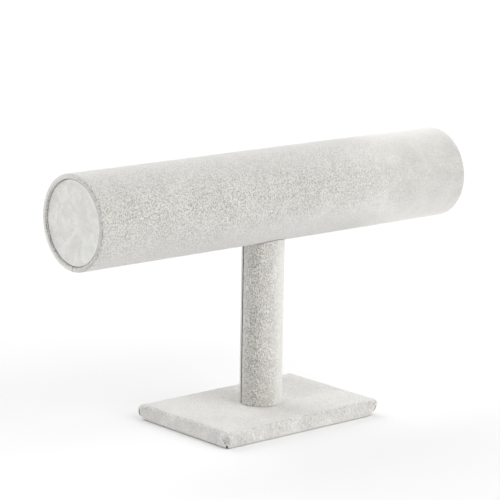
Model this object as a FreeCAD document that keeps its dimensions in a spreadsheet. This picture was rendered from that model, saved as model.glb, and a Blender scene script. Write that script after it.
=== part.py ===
import FreeCAD, Part
import os

import Sketcher
from FreeCAD import Placement, Rotation, Vector

# Watch display bar: a velvet covered tube carried by a post on a wrapped base board.
# Millimetres. X runs along the bar, Y to the back and Z up.
# The origin is on the table, under the middle of the post.

# Driving dimensions, each named once
DIMENSIONS = {
    # velvet and glue
    "velvet": 0.6,
    "glue_line": 0.1,
    "seam_gap": 0.5,
    # display bar
    "bar_length": 254,
    "bar_diameter": 50,
    "bar_axis_height": 122,
    "bar_wall": 1.4,
    "rim_bevel": 0.8,
    "rim_inner_bevel": 0.4,
    "rim_turn_in": 12,
    # end discs
    "disc_recess": 0.8,
    "disc_board": 1.5,
    "disc_turn_back": 7,
    "disc_bevel": 0.5,
    "disc_fit": 0.15,
    # post
    "post_diameter": 23.2,
    "post_wall": 2,
    "post_seam_angle": 163,
    "post_seam_gap": 0.9,
    "plug_fit": 0.1,
    "plug_spare": 4,
    # base
    "base_length": 109,
    "base_width": 73,
    "board_thickness": 7,
    "board_bevel": 1.2,
    "board_corner": 7,
    "base_corner": 3,
    "base_top_rounding": 2.7,
    "base_bottom_bevel": 1.6,
    "turn_under": 12,
    "corner_slit": 0.9,
    "slit_below_top": 2,
    "liner_thickness": 0.6,
    "liner_margin": 4,
    # screws
    "screw_diameter": 4,
    "screw_bite": 18,
    "screw_tip": 4,
    "head_diameter": 8,
    "head_height": 2.6,
    "recess_reach": 4.4,
    "recess_width": 0.9,
    "recess_depth": 1.3,
    "screw_clearance": 0.25,
    "pilot_clearance": 0.05,
    "head_sink": 0.3,
    "washer_diameter": 14,
    "washer_thickness": 1,
    "driver_hole": 12,
    # saddle block inside the bar
    "saddle_length": 26,
    "saddle_width": 24,
    "saddle_thickness": 8,
    "saddle_fit": 0.1,
}

# Sizes that follow from the driving dimensions, as expressions
BAR_RADIUS = "(Sizes.bar_diameter / 2)"
TUBE_RADIUS = f"({BAR_RADIUS} - Sizes.velvet - Sizes.glue_line)"
TUBE_BORE = f"({TUBE_RADIUS} - Sizes.bar_wall)"
LINING_OUTSIDE = f"({TUBE_BORE} - Sizes.glue_line)"
LINING_INSIDE = f"({LINING_OUTSIDE} - Sizes.velvet)"
HALF_BAR = "(Sizes.bar_length / 2)"
HALF_TUBE = f"({HALF_BAR} - Sizes.velvet)"
DISC_RADIUS = f"({LINING_INSIDE} - Sizes.disc_fit)"
DISC_BOARD_RADIUS = f"({DISC_RADIUS} - Sizes.velvet - Sizes.glue_line)"
POST_RADIUS = "(Sizes.post_diameter / 2)"
POST_TUBE_RADIUS = f"({POST_RADIUS} - Sizes.velvet - Sizes.glue_line)"
POST_BORE = f"({POST_TUBE_RADIUS} - Sizes.post_wall)"
PLUG_RADIUS = f"({POST_BORE} - Sizes.plug_fit)"
COPE_RADIUS = f"({BAR_RADIUS} + Sizes.glue_line)"
COVER_BOTTOM = "Sizes.liner_thickness"
BOARD_BOTTOM = f"({COVER_BOTTOM} + Sizes.velvet)"
BOARD_TOP = f"({BOARD_BOTTOM} + Sizes.board_thickness)"
BASE_TOP = f"({BOARD_TOP} + Sizes.velvet)"
POST_HEIGHT = f"(Sizes.bar_axis_height - {BASE_TOP})"
PLUG_LENGTH = "(Sizes.screw_bite + Sizes.plug_spare)"
SCREW_HOLE_RADIUS = "(Sizes.screw_diameter / 2 + Sizes.screw_clearance)"
PILOT_RADIUS = "(Sizes.screw_diameter / 2 + Sizes.pilot_clearance)"
SADDLE_RADIUS = f"({TUBE_BORE} - Sizes.saddle_fit)"
SADDLE_TOP = f"({SADDLE_RADIUS} - Sizes.saddle_thickness)"
# from the underside of each screw's head to its tip
BAR_SCREW_LENGTH = f"({COPE_RADIUS} - {SADDLE_TOP} + Sizes.washer_thickness + Sizes.screw_bite)"
BASE_SCREW_LENGTH = f"({BASE_TOP} - {BOARD_BOTTOM} - Sizes.head_sink + Sizes.screw_bite)"

os.makedirs("parts", exist_ok=True)
doc = FreeCAD.newDocument("watch_display_bar")
sizes = doc.addObject("Spreadsheet::Sheet", "Sizes")
for row, (alias, number) in enumerate(DIMENSIONS.items(), start=1):
    sizes.set(f"A{row}", alias)
    sizes.set(f"B{row}", str(number))
    sizes.setAlias(f"B{row}", alias)
doc.recompute()

nodes = []


def value_of(expression):
    """The number that an expression of the sheet's cells stands for now."""
    result = sizes.evalExpression(expression)
    return getattr(result, "Value", result)


def place(item, x="0", y="0", z="0"):
    """Tie an object's place to the sheet."""
    for axis, expression in (("x", x), ("y", y), ("z", z)):
        if expression != "0":
            item.setExpression(f"Placement.Base.{axis}", expression)


def new_body(label, x="0", y="0", z="0"):
    """A body with its label and its place in the display."""
    body = doc.addObject("PartDesign::Body", label)
    body.Label = label
    place(body, x, y, z)
    return body


def new_sketch(body, plane_role, name):
    """A sketch on one of the body's own origin planes."""
    sketch = body.newObject("Sketcher::SketchObject", name)
    plane = next(item for item in body.Origin.OriginFeatures if item.Role == plane_role)
    sketch.AttachmentSupport = (plane, [""])
    sketch.MapMode = "FlatFace"
    return sketch


def fix_point(sketch, geometry, vertex, x, y):
    """Hold one point of a sketch at two expressions, measured from the sketch's origin."""
    for kind, expression, crossing_axis in (("DistanceX", x, -2), ("DistanceY", y, -1)):
        if expression == "0":
            sketch.addConstraint(Sketcher.Constraint("PointOnObject", geometry, vertex, crossing_axis))
        else:
            datum = Sketcher.Constraint(kind, -1, 1, geometry, vertex, value_of(expression))
            index = sketch.addConstraint(datum)
            sketch.setExpression(f"Constraints[{index}]", expression)


def draw_outline(sketch, corners):
    """A closed outline of straight lines through corners given as pairs of expressions."""
    points = [Vector(value_of(x), value_of(y), 0) for x, y in corners]
    first = sketch.GeometryCount
    for start, end in zip(points, points[1:] + points[:1]):
        sketch.addGeometry(Part.LineSegment(start, end), False)
    for step in range(len(corners)):
        following = first + (step + 1) % len(corners)
        sketch.addConstraint(Sketcher.Constraint("Coincident", first + step, 2, following, 1))
    for step, (x, y) in enumerate(corners):
        fix_point(sketch, first + step, 1, x, y)


def draw_rectangle(sketch, length, width):
    """A rectangle centred on the sketch's origin."""
    half_x, half_y = f"{length} / 2", f"{width} / 2"
    left, front = "-" + half_x, "-" + half_y
    draw_outline(sketch, [(left, front), (half_x, front), (half_x, half_y), (left, half_y)])


def draw_circle(sketch, radius, x="0", y="0"):
    """A circle whose centre and radius are tied to the sheet."""
    centre = Vector(value_of(x), value_of(y), 0)
    circle = sketch.addGeometry(Part.Circle(centre, Vector(0, 0, 1), value_of(radius)), False)
    fix_point(sketch, circle, 3, x, y)
    index = sketch.addConstraint(Sketcher.Constraint("Radius", circle, value_of(radius)))
    sketch.setExpression(f"Constraints[{index}]", radius)


def pad(body, sketch, length, both_ways=False):
    """Extrude a sketch along its normal, or half to each side of it."""
    feature = body.newObject("PartDesign::Pad", sketch.Name + "_pad")
    feature.Profile = sketch
    feature.SideType = "Symmetric" if both_ways else "One side"
    feature.setExpression("Length", length)
    return feature


def pocket_through(body, sketch):
    """Cut a sketch through the whole body, to both sides of its plane."""
    feature = body.newObject("PartDesign::Pocket", sketch.Name + "_cut")
    feature.Profile = sketch
    feature.SideType = "Symmetric"
    feature.Type = "ThroughAll"
    return feature


def pocket(body, sketch, depth, towards_normal):
    """Cut a sketch to a depth, along its normal or against it."""
    feature = body.newObject("PartDesign::Pocket", sketch.Name + "_cut")
    feature.Profile = sketch
    feature.Reversed = towards_normal
    feature.setExpression("Length", depth)
    return feature


def revolve(body, sketch, axis, angle="360"):
    """Turn a sketch about one of its own axes, half of the angle to each side."""
    feature = body.newObject("PartDesign::Revolution", sketch.Name + "_turned")
    feature.Profile = sketch
    feature.ReferenceAxis = (sketch, [axis])
    feature.Midplane = True
    feature.setExpression("Angle", angle)
    return feature


def round_edges(body, name, radius, is_chosen):
    """Fillet the edges of the body's last feature that a test picks out."""
    doc.recompute()
    last = body.Tip
    chosen = [f"Edge{place}" for place, edge in enumerate(last.Shape.Edges, start=1) if is_chosen(edge)]
    feature = body.newObject("PartDesign::Fillet", name)
    feature.Base = (last, chosen)
    feature.setExpression("Radius", radius)
    return feature


def bevel_edges(body, name, width, is_chosen):
    """Chamfer the edges of the body's last feature that a test picks out."""
    doc.recompute()
    last = body.Tip
    chosen = [f"Edge{place}" for place, edge in enumerate(last.Shape.Edges, start=1) if is_chosen(edge)]
    feature = body.newObject("PartDesign::Chamfer", name)
    feature.Base = (last, chosen)
    feature.setExpression("Size", width)
    return feature


def lies_flat_at(axis, level):
    """A test for edges that lie wholly at one level of an axis."""
    def is_chosen(edge):
        box = edge.BoundBox
        low, high = getattr(box, axis + "Min"), getattr(box, axis + "Max")
        return abs(low - level) < 1e-4 and abs(high - level) < 1e-4
    return is_chosen


def stands_upright(edge):
    """A test for straight edges along Z."""
    box = edge.BoundBox
    return box.XLength < 1e-4 and box.YLength < 1e-4


def lies_on_end_circle(half_length, radius):
    """A test for edges round the X axis at one radius, at either end of a bar."""
    def is_chosen(edge):
        if not isinstance(edge.Curve, Part.Circle):
            return False
        at_an_end = abs(abs(edge.Curve.Center.x) - half_length) < 1e-4
        return at_an_end and abs(edge.Curve.Radius - radius) < 1e-4
    return is_chosen


def rounded_block(label, length, width, height, corner, level):
    """An upright block with rounded corners."""
    body = new_body(label, z=level)
    outline = new_sketch(body, "XY_Plane", label + "_outline")
    draw_rectangle(outline, length, width)
    pad(body, outline, height)
    round_edges(body, label + "_corners", corner, stands_upright)
    return body


def board_shape(label, side_gap):
    """The base board, or the hollow that holds it with a gap at its sides.

    Its corners are rounder than the cover's: the folded velvet fills them out.
    """
    inset = f"(Sizes.velvet + Sizes.glue_line - {side_gap})"
    body = rounded_block(
        label,
        f"(Sizes.base_length - 2 * {inset})",
        f"(Sizes.base_width - 2 * {inset})",
        "Sizes.board_thickness",
        f"Sizes.board_corner + {side_gap}",
        BOARD_BOTTOM,
    )
    for side, level in (("top", value_of("Sizes.board_thickness")), ("bottom", 0)):
        bevel_edges(body, f"{label}_{side}_bevel", "Sizes.board_bevel", lies_flat_at("Z", level))
    return body


def drill(body, name, radius):
    """A round hole down the middle of a body, right through it."""
    sketch = new_sketch(body, "XY_Plane", name)
    draw_circle(sketch, radius)
    return pocket_through(body, sketch)


def cope_top(body, name):
    """Hollow the top of an upright piece to seat against the round underside of the bar."""
    sketch = new_sketch(body, "YZ_Plane", name)
    draw_circle(sketch, COPE_RADIUS, "0", POST_HEIGHT)
    return pocket_through(body, sketch)


# Display bar: a card tube, with its axis as the local X axis
def make_bar_tube():
    body = new_body("bar_tube", z="Sizes.bar_axis_height")
    section = new_sketch(body, "YZ_Plane", "bar_tube_section")
    draw_circle(section, TUBE_RADIUS)
    draw_circle(section, TUBE_BORE)
    pad(body, section, f"{HALF_TUBE} * 2", both_ways=True)
    # the screw passes down through the lower wall, the driver comes in through the upper one
    screw_hole = new_sketch(body, "XY_Plane", "bar_tube_screw_hole")
    draw_circle(screw_hole, SCREW_HOLE_RADIUS)
    pocket(body, screw_hole, TUBE_RADIUS, towards_normal=False)
    driver_hole = new_sketch(body, "XY_Plane", "bar_tube_driver_hole")
    draw_circle(driver_hole, "Sizes.driver_hole / 2")
    pocket(body, driver_hole, TUBE_RADIUS, towards_normal=True)
    return body


# Velvet sleeve of the bar: rolled over both ends of the tube and turned in, with a butt seam below
def make_bar_cover():
    body = new_body("bar_cover", z="Sizes.bar_axis_height")
    section = new_sketch(body, "XZ_Plane", "bar_cover_section")
    turned_in = f"({HALF_TUBE} - Sizes.rim_turn_in)"
    right_half = [
        (HALF_BAR, BAR_RADIUS),
        (HALF_BAR, LINING_INSIDE),
        (turned_in, LINING_INSIDE),
        (turned_in, LINING_OUTSIDE),
        (HALF_TUBE, LINING_OUTSIDE),
        (HALF_TUBE, f"({TUBE_RADIUS} + Sizes.glue_line)"),
    ]
    left_half = [("-" + x, z) for x, z in reversed(right_half)]
    draw_outline(section, right_half + left_half)
    revolve(body, section, "H_Axis", "360 - 2 * asin(Sizes.seam_gap / Sizes.bar_diameter) / 1 deg")
    for name, radius, bevel in (
        ("outer", BAR_RADIUS, "min(Sizes.rim_bevel; 1.5 * Sizes.velvet)"),
        ("inner", LINING_INSIDE, "min(Sizes.rim_inner_bevel; Sizes.velvet)"),
    ):
        is_rim = lies_on_end_circle(value_of(HALF_BAR), value_of(radius))
        bevel_edges(body, f"bar_cover_{name}_rim", bevel, is_rim)
    screw_hole = new_sketch(body, "XY_Plane", "bar_cover_screw_hole")
    draw_circle(screw_hole, SCREW_HOLE_RADIUS)
    pocket(body, screw_hole, BAR_RADIUS, towards_normal=False)
    return body


# End disc: a card board in a velvet cover, with its face as the local YZ plane and X outwards
def turn_end_piece(body):
    """Set a piece of an end disc behind the bar's rim, facing out at its own end."""
    if body.Label.endswith("left"):
        body.Placement = Placement(Vector(), Rotation(Vector(0, 0, 1), 180))
        place(body, f"-({HALF_BAR} - Sizes.disc_recess)", z="Sizes.bar_axis_height")
    else:
        place(body, f"{HALF_BAR} - Sizes.disc_recess", z="Sizes.bar_axis_height")


def make_end_board(side):
    body = doc.addObject("PartDesign::Body", "end_board_" + side)
    section = new_sketch(body, "XZ_Plane", body.Name + "_section")
    front, back = "-Sizes.velvet", "-(Sizes.velvet + Sizes.disc_board)"
    draw_outline(section, [(back, "0"), (front, "0"), (front, DISC_BOARD_RADIUS), (back, DISC_BOARD_RADIUS)])
    revolve(body, section, "H_Axis")
    turn_end_piece(body)
    return body


def make_end_cover(side):
    body = doc.addObject("PartDesign::Body", "end_cover_" + side)
    section = new_sketch(body, "XZ_Plane", body.Name + "_section")
    front, back = "-Sizes.velvet", "-(Sizes.velvet + Sizes.disc_board)"
    behind = "-(2 * Sizes.velvet + Sizes.disc_board)"
    inside = f"({DISC_BOARD_RADIUS} + Sizes.glue_line)"
    turned_back = f"({DISC_RADIUS} - Sizes.disc_turn_back)"
    corners = [
        ("0", "0"),
        ("0", DISC_RADIUS),
        (behind, DISC_RADIUS),
        (behind, turned_back),
        (back, turned_back),
        (back, inside),
        (front, inside),
        (front, "0"),
    ]
    draw_outline(section, corners)
    revolve(body, section, "H_Axis")
    bevel_edges(body, body.Name + "_edge", "min(Sizes.disc_bevel; Sizes.velvet)", lies_flat_at("X", 0))
    turn_end_piece(body)
    return body


# Saddle block: sits in the tube over the post and spreads the screw's pull
def make_bar_saddle():
    body = new_body("bar_saddle", z="Sizes.bar_axis_height")
    outline = new_sketch(body, "XY_Plane", "bar_saddle_outline")
    draw_rectangle(outline, "Sizes.saddle_length", "Sizes.saddle_width")
    pad(body, outline, SADDLE_RADIUS).Reversed = True
    # the flat top
    relief = new_sketch(body, "XY_Plane", "bar_saddle_relief")
    draw_rectangle(relief, "(Sizes.saddle_length + 2)", "(Sizes.saddle_width + 2)")
    pocket(body, relief, SADDLE_TOP, towards_normal=False)
    # the round underside: what lies outside the tube's bore is cut away
    bore = new_sketch(body, "YZ_Plane", "bar_saddle_bore")
    draw_circle(bore, SADDLE_RADIUS)
    draw_circle(bore, f"({SADDLE_RADIUS} * 2)")
    pocket_through(body, bore)
    drill(body, "bar_saddle_screw_hole", SCREW_HOLE_RADIUS)
    return body


def make_bar_washer():
    washer_bottom = f"Sizes.bar_axis_height - {SADDLE_TOP}"
    body = new_body("bar_washer", z=washer_bottom)
    ring = new_sketch(body, "XY_Plane", "bar_washer_ring")
    draw_circle(ring, "Sizes.washer_diameter / 2")
    draw_circle(ring, SCREW_HOLE_RADIUS)
    pad(body, ring, "Sizes.washer_thickness")
    return body


# Wood screw: the head's bearing plane is the local XY plane, the shank points along local -Z
def make_screw(label, length, countersunk, level, upside_down):
    body = doc.addObject("PartDesign::Body", label)
    profile = new_sketch(body, "XZ_Plane", label + "_profile")
    shank, head = "Sizes.screw_diameter / 2", "Sizes.head_diameter / 2"
    if countersunk:
        cone_height = "(Sizes.head_diameter - Sizes.screw_diameter) / 2"
        head_outline = [("0", "0"), (head, "0"), (shank, "-" + cone_height)]
    else:
        head_outline = [("0", "Sizes.head_height"), (head, "Sizes.head_height"), (head, "0"), (shank, "0")]
    blunt_point = "Sizes.screw_diameter / 12"
    tip_start, tip = f"-({length} - Sizes.screw_tip)", f"-{length}"
    tip_outline = [(shank, tip_start), (blunt_point, tip), ("0", tip)]
    draw_outline(profile, head_outline + tip_outline)
    revolve(body, profile, "V_Axis")
    if not countersunk:
        head_edge = lies_flat_at("Z", value_of("Sizes.head_height"))
        bevel_edges(body, label + "_head_bevel", "Sizes.head_height / 3", head_edge)
    # the cross recess for the driver
    for name, length_x, length_y in (
        ("long", "Sizes.recess_reach", "Sizes.recess_width"),
        ("wide", "Sizes.recess_width", "Sizes.recess_reach"),
    ):
        slot = new_sketch(body, "XY_Plane", f"{label}_recess_{name}")
        draw_rectangle(slot, length_x, length_y)
        if not countersunk:
            slot.setExpression("AttachmentOffset.Base.z", "Sizes.head_height")
        pocket(body, slot, "Sizes.recess_depth", towards_normal=False)
    if upside_down:
        body.Placement = Placement(Vector(), Rotation(Vector(1, 0, 0), 180))
    place(body, z=level)
    return body


# Post: a card tube in a velvet sleeve, plugged with wood at both ends
def make_post_tube():
    body = new_body("post_tube", z=BASE_TOP)
    ring = new_sketch(body, "XY_Plane", "post_tube_ring")
    draw_circle(ring, POST_TUBE_RADIUS)
    draw_circle(ring, POST_BORE)
    pad(body, ring, POST_HEIGHT)
    cope_top(body, "post_tube_cope")
    return body


def make_post_cover():
    body = new_body("post_cover", z=BASE_TOP)
    ring = new_sketch(body, "XY_Plane", "post_cover_ring")
    draw_circle(ring, POST_RADIUS)
    draw_circle(ring, f"({POST_TUBE_RADIUS} + Sizes.glue_line)")
    pad(body, ring, POST_HEIGHT)
    # the butt seam runs the full height, turned away from the front
    inner, outer = f"{POST_TUBE_RADIUS} / 2", f"{POST_RADIUS} * 1.1"
    half_gap = "Sizes.post_seam_gap / 2"
    corners = []
    for radius, side in ((inner, "-"), (outer, "-"), (outer, "+"), (inner, "+")):
        x = f"({radius}) * cos(Sizes.post_seam_angle) {side} ({half_gap}) * sin(Sizes.post_seam_angle) * -1"
        y = f"({radius}) * sin(Sizes.post_seam_angle) {side} ({half_gap}) * cos(Sizes.post_seam_angle)"
        corners.append((x, y))
    seam = new_sketch(body, "XY_Plane", "post_cover_seam")
    draw_outline(seam, corners)
    pocket_through(body, seam)
    cope_top(body, "post_cover_cope")
    return body


def make_post_plug(label, is_top):
    body = new_body(label, z=BASE_TOP)
    disc = new_sketch(body, "XY_Plane", label + "_disc")
    draw_circle(disc, PLUG_RADIUS)
    if is_top:
        pad(body, disc, POST_HEIGHT)
        # the post is hollow below the plug
        below = new_sketch(body, "XY_Plane", label + "_below")
        draw_circle(below, f"{PLUG_RADIUS} * 1.1")
        pocket(body, below, f"{POST_HEIGHT} - {COPE_RADIUS} - {PLUG_LENGTH}", towards_normal=True)
        cope_top(body, label + "_cope")
    else:
        pad(body, disc, PLUG_LENGTH)
    drill(body, label + "_pilot_hole", PILOT_RADIUS)
    return body


# Base: a board with softened edges, a velvet cover folded round it and a liner below
def make_base_board():
    body = board_shape("base_board", "0")
    centre = new_sketch(body, "XY_Plane", "base_board_screw_place")
    draw_circle(centre, SCREW_HOLE_RADIUS)
    doc.recompute()
    hole = body.newObject("PartDesign::Hole", "base_board_screw_hole")
    hole.Profile = centre
    hole.Reversed = True
    hole.DepthType = "ThroughAll"
    hole.setExpression("Diameter", f"2 * {SCREW_HOLE_RADIUS}")
    hole.HoleCutType = "Countersink"
    hole.HoleCutCustomValues = True
    sink_width = "Sizes.head_diameter + 2 * (Sizes.head_sink + Sizes.screw_clearance)"
    hole.setExpression("HoleCutDiameter", sink_width)
    hole.HoleCutCountersinkAngle = 90
    return body


def make_base_cover():
    height = f"({BASE_TOP} - {COVER_BOTTOM})"
    length, width = "Sizes.base_length", "Sizes.base_width"
    form = rounded_block("base_cover_form", length, width, height, "Sizes.base_corner", COVER_BOTTOM)
    at_top, at_bottom = lies_flat_at("Z", value_of(height)), lies_flat_at("Z", 0)
    round_edges(form, "base_cover_top_rounding", "Sizes.base_top_rounding", at_top)
    bevel_edges(form, "base_cover_bottom_bevel", "Sizes.base_bottom_bevel", at_bottom)
    drill(form, "base_cover_screw_hole", SCREW_HOLE_RADIUS)
    cavity = board_shape("base_cover_cavity", "Sizes.glue_line")
    # the board shows through a window inside the turned-under border
    window = new_body("base_cover_window")
    opening = new_sketch(window, "XY_Plane", "base_cover_opening")
    window_length = "(Sizes.base_length - 2 * Sizes.turn_under)"
    window_width = "(Sizes.base_width - 2 * Sizes.turn_under)"
    draw_rectangle(opening, window_length, window_width)
    pad(window, opening, f"{BOARD_BOTTOM} + Sizes.board_thickness / 2")
    cut_away = doc.addObject("Part::MultiFuse", "base_cover_cut_away")
    cut_away.Shapes = [cavity, window] + [corner_slit(x, y) for x in (-1, 1) for y in (-1, 1)]
    cover = doc.addObject("Part::Cut", "base_cover")
    cover.Base = form
    cover.Tool = cut_away
    return cover


# Corner slit: where the two flaps of velvet meet, mitred below and closing as it climbs the corner
def corner_slit(side_x, side_y):
    name = f"base_cover_slit_{'left' if side_x < 0 else 'right'}_{'front' if side_y < 0 else 'back'}"
    slit = doc.addObject("Part::Wedge", name)
    for bound, expression in (
        ("Xmin", "-Sizes.corner_slit / 2"),
        ("Xmax", "Sizes.corner_slit / 2"),
        ("Ymax", f"{BASE_TOP} - Sizes.slit_below_top"),
        ("Zmin", "-Sizes.turn_under / 4"),
        ("Z2min", "-Sizes.turn_under / 4"),
        ("Zmax", "Sizes.turn_under * 1.5"),
        ("Z2max", "Sizes.turn_under * 1.5"),
    ):
        slit.setExpression(bound, expression)
    for bound in ("Ymin", "X2min", "X2max"):
        setattr(slit, bound, 0)
    towards_corner = {(1, 1): 45, (-1, 1): 135, (-1, -1): 225, (1, -1): 315}[side_x, side_y]
    upright = Rotation(Vector(0, 0, 1), towards_corner + 90) * Rotation(Vector(1, 0, 0), 90)
    slit.Placement = Placement(Vector(), upright)
    place(
        slit,
        f"{side_x} * (Sizes.base_length / 2 - Sizes.turn_under)",
        f"{side_y} * (Sizes.base_width / 2 - Sizes.turn_under)",
    )
    return slit


def make_base_liner():
    body = new_body("base_liner")
    outline = new_sketch(body, "XY_Plane", "base_liner_outline")
    margin = "2 * Sizes.liner_margin"
    draw_rectangle(outline, f"(Sizes.base_length - {margin})", f"(Sizes.base_width - {margin})")
    pad(body, outline, "Sizes.liner_thickness")
    round_edges(body, "base_liner_corners", "Sizes.base_corner", stands_upright)
    return body


nodes += [make_bar_tube(), make_bar_cover()]
nodes += [make(side) for make in (make_end_board, make_end_cover) for side in ("left", "right")]
nodes += [make_bar_saddle(), make_bar_washer()]
bar_screw_level = f"Sizes.bar_axis_height - {SADDLE_TOP} + Sizes.washer_thickness"
nodes.append(make_screw("bar_screw", BAR_SCREW_LENGTH, False, bar_screw_level, False))
nodes += [make_post_tube(), make_post_cover()]
nodes += [make_post_plug("post_top_plug", True), make_post_plug("post_bottom_plug", False)]
nodes += [make_base_board(), make_base_cover(), make_base_liner()]
base_screw_level = f"{BOARD_BOTTOM} + Sizes.head_sink"
nodes.append(make_screw("base_screw", BASE_SCREW_LENGTH, True, base_screw_level, True))
doc.recompute()

# Nothing is written unless every object is sound and every cut took something away
for item in doc.Objects:
    if {"Invalid", "Error"} & set(item.State):
        raise RuntimeError(f"{item.Label} did not build: {item.State}")
    if item.TypeId in ("PartDesign::Pocket", "PartDesign::Hole"):
        if item.Shape.Volume >= item.BaseFeature.Shape.Volume - 1e-6:
            raise RuntimeError(f"{item.Label} cuts nothing")
for node in nodes:
    if node.Shape.isNull() or not node.Shape.isValid():
        raise RuntimeError(f"{node.Label} has no valid shape")
for node in nodes:
    node.Shape.exportStep(f"parts/{node.Label}.step")
    print(f"{node.Label}: {len(node.Shape.Solids)} solid, {node.Shape.Volume:.1f} mm3")
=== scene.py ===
"""Watch display bar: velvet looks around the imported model, in metres.

A long velvet bar lies on a short post that stands on a velvet-covered board. The sleeves, the
end discs, the wrapped board and its felt are made here from sheets; the parts inside keep the
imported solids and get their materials.
"""

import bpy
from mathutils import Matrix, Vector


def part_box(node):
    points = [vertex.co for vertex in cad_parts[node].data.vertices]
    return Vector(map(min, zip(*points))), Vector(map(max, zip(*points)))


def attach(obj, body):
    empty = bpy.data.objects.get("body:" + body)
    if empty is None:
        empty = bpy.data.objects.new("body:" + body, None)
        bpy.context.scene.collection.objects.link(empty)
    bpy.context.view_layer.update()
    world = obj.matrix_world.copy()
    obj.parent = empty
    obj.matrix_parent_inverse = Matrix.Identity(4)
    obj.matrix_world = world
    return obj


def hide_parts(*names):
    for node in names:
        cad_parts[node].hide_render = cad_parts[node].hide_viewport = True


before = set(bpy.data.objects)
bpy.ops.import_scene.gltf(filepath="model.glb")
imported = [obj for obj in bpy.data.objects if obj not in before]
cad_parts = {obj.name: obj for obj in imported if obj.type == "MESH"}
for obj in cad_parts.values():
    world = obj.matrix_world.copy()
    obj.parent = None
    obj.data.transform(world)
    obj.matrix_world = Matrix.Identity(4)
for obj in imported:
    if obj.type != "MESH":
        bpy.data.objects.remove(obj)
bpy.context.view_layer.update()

import logging
import math
import random
from contextlib import contextmanager
from dataclasses import dataclass
from enum import Enum
from typing import Any, Callable, Iterable, Iterator, Sequence

import bmesh
import bpy
from bpy.types import Material, Node, NodeSocket, NodeTree, Object
from mathutils import Matrix, Quaternion, Vector

LOG = logging.getLogger("watch_display_bar")

MM = 0.001
TINY = 0.02 * MM
BODY = "root"

Colour = tuple[float, float, float]
Place = tuple[float, float, float]
Span = tuple[float, float]
Root = tuple[Vector, Vector]  # where a fibre stands, and the way it points

# The pale that painted sheen and painted light mix into the pile's colour.
PAINTED_LIGHT_PALE = (0.985, 0.976, 0.944, 1.0)
LINT = (0.24, 0.23, 0.21, 1.0)


# Modelling tools


class Kind(Enum):
    """What is picked in edit mode: the operator's name and the mesh's own list."""

    CORNER = ("VERT", "verts")
    EDGE = ("EDGE", "edges")
    FACE = ("FACE", "faces")


class Fade(Enum):
    """How a pull on the cloth fades with the distance."""

    SMOOTH = "SMOOTH"
    SHARP = "SHARP"


def hold(piece: Object) -> None:
    """Make one piece the only selected and active one.

    Args:
        piece: The object to work on.
    """
    bpy.ops.object.select_all(action="DESELECT")
    piece.select_set(True)
    bpy.context.view_layer.objects.active = piece


@contextmanager
def editing(piece: Object) -> Iterator[None]:
    """Open a piece in edit mode, and close it again.

    Args:
        piece: The object to edit.

    Yields:
        Nothing; the piece is in edit mode meanwhile.
    """
    hold(piece)
    bpy.ops.object.mode_set(mode="EDIT")
    yield
    bpy.ops.object.mode_set(mode="OBJECT")


def middle(item: Any) -> Vector:
    """The middle of a face, an edge or a corner."""
    if isinstance(item, bmesh.types.BMVert):
        return item.co
    return sum((corner.co for corner in item.verts), Vector()) / len(item.verts)


def pick(piece: Object, kind: Kind, test: Callable[[Any], bool]) -> int:
    """Select the faces, edges or corners that pass a test, and nothing else.

    Args:
        piece: The object in edit mode.
        kind: What is looked at.
        test: Says of each item whether it is taken.

    Returns:
        How many were taken.
    """
    name, attribute = kind.value
    bpy.ops.mesh.select_mode(type=name)
    bpy.ops.mesh.select_all(action="DESELECT")
    mesh = bmesh.from_edit_mesh(piece.data)
    taken = [item for item in getattr(mesh, attribute) if test(item)]
    for item in taken:
        item.select_set(True)
    bmesh.update_edit_mesh(piece.data)
    return len(taken)


def on_edge(test: Callable[[Vector], bool]) -> Callable[[Any], bool]:
    """A test that an edge or a face passes when each of its corners does."""
    return lambda item: all(test(corner.co) for corner in item.verts)


def runs_along(axis: int) -> Callable[[Any], bool]:
    """A test that an edge passes when its ends differ along an axis, 0 for X."""
    return lambda edge: abs(edge.verts[0].co[axis] - edge.verts[1].co[axis]) > TINY


def pull(move: Sequence[float], reach: float, fade: Fade = Fade.SMOOTH) -> None:
    """Move what is picked, and less and less of the cloth round it.

    Args:
        move: How far the picked corners go.
        reach: How far round them the cloth follows.
        fade: How the pull fades.
    """
    bpy.ops.transform.translate(value=move, use_proportional_edit=True, proportional_edit_falloff=fade.value,
                                proportional_size=reach)


def settle(name: str) -> Object:
    """Name the piece just added or joined and move its place into its mesh.

    Args:
        name: The piece's name.

    Returns:
        The piece, at the origin, unturned and unscaled.
    """
    piece = bpy.context.active_object
    piece.name = piece.data.name = name
    hold(piece)
    bpy.ops.object.transform_apply(location=True, rotation=True, scale=True)
    return piece


def modify(piece: Object, kind: str, **settings: Any) -> None:
    """Add a modifier with its settings and apply it.

    Args:
        piece: The object to change.
        kind: The modifier's type.
        settings: Its properties.
    """
    hold(piece)
    bpy.ops.object.modifier_add(type=kind)
    modifier = piece.modifiers[-1]
    for key, value in settings.items():
        setattr(modifier, key, value)
    bpy.ops.object.modifier_apply(modifier=modifier.name)


def open_tube(name: str, radius: float, low: Vector, high: Vector, sides: int, rows: int, turn: float = 0.0) -> Object:
    """An open tube between two points, upright or along X, with rows along it.

    Args:
        name: The piece's name.
        radius: The tube's radius.
        low: The middle of its first end.
        high: The middle of its second end.
        sides: Faces round it.
        rows: Faces along it.
        turn: The angle of its first line of corners, for an upright tube.

    Returns:
        The tube, with its faces outward.
    """
    along = high - low
    level = abs(along.x) > abs(along.z)
    bpy.ops.mesh.primitive_cylinder_add(
        vertices=sides, radius=radius, depth=along.length, end_fill_type="NOTHING",
        location=(low + high) / 2, rotation=(0, math.pi / 2, 0) if level else (0, 0, turn))
    tube = settle(name)
    with editing(tube):
        pick(tube, Kind.EDGE, runs_along(0 if level else 2))
        bpy.ops.mesh.subdivide(number_cuts=rows - 1)
    return tube


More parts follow.
